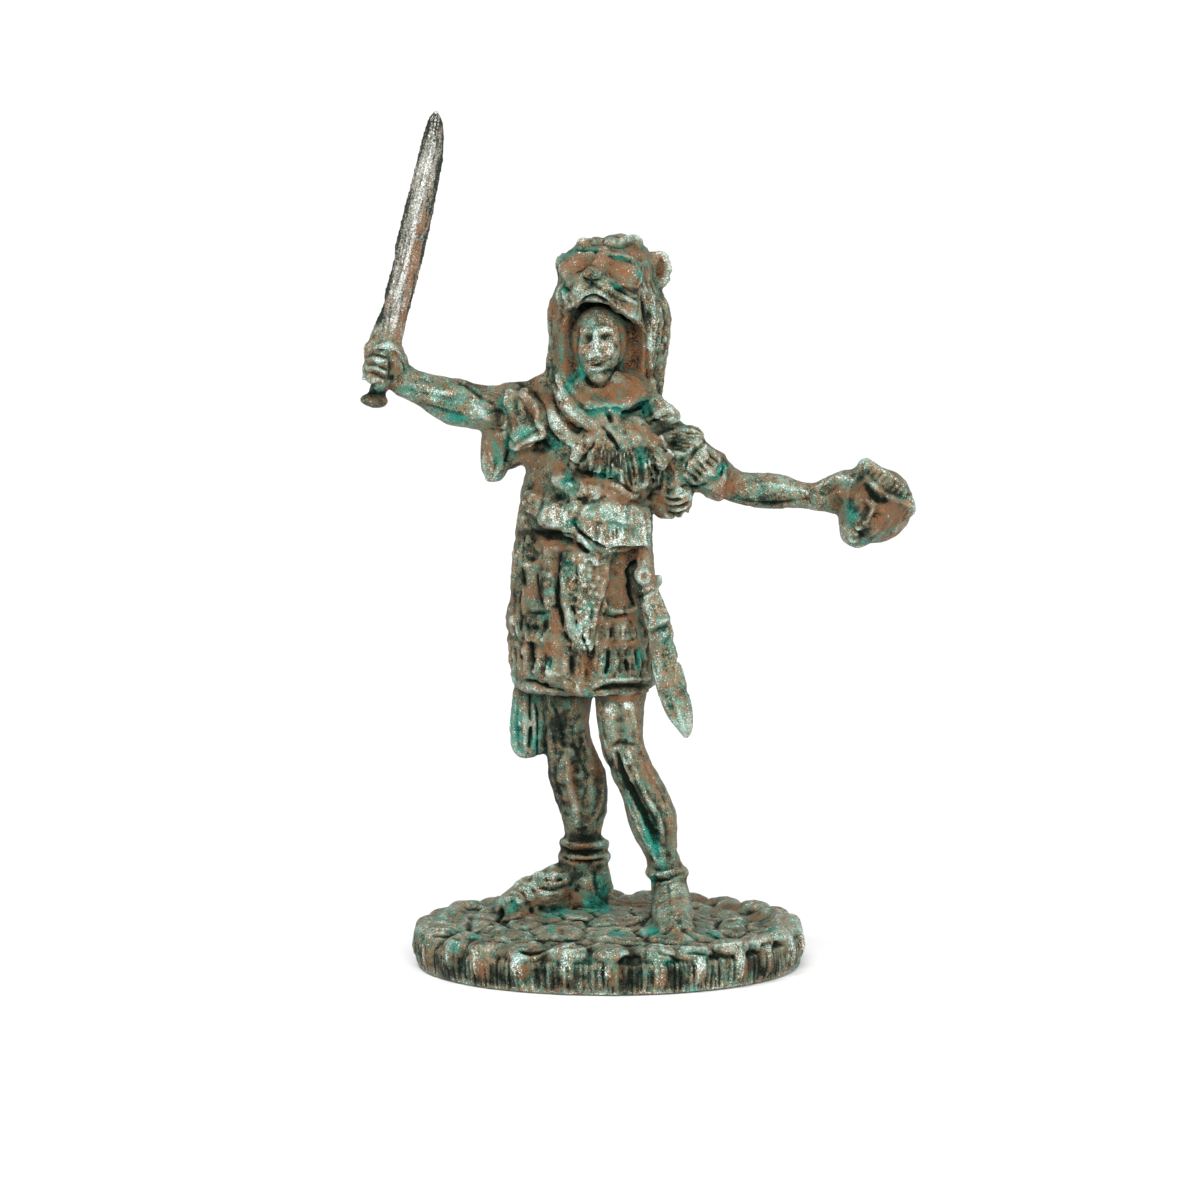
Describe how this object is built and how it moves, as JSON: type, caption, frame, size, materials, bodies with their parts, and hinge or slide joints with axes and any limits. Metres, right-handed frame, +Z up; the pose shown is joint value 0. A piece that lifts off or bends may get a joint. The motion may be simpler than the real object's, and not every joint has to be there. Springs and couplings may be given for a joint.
{
  "type": "cast bronze soldier figure",
  "caption": "Small solid bronze figure of a roman soldier in a lion pelt, with a raised sword and a held head, on a round cobbled base.",
  "frame": {"origin": "centre of the flat underside of the round base, where the figure rests", "axes": "+Z up, longest extent from the underside to the sword's point; the soldier faces -Y and the sword arm reaches toward -X"},
  "size_m": [0.0498, 0.0348, 0.0769],
  "materials": {
    "patinated_bronze": "solid cast bronze with a dull brown skin, dark hollows, blue-green verdigris and bright rubbed high points"
  },
  "bodies": {
    "root": {"roman_soldier_figure": "patinated_bronze"}
  },
  "joints": []
}
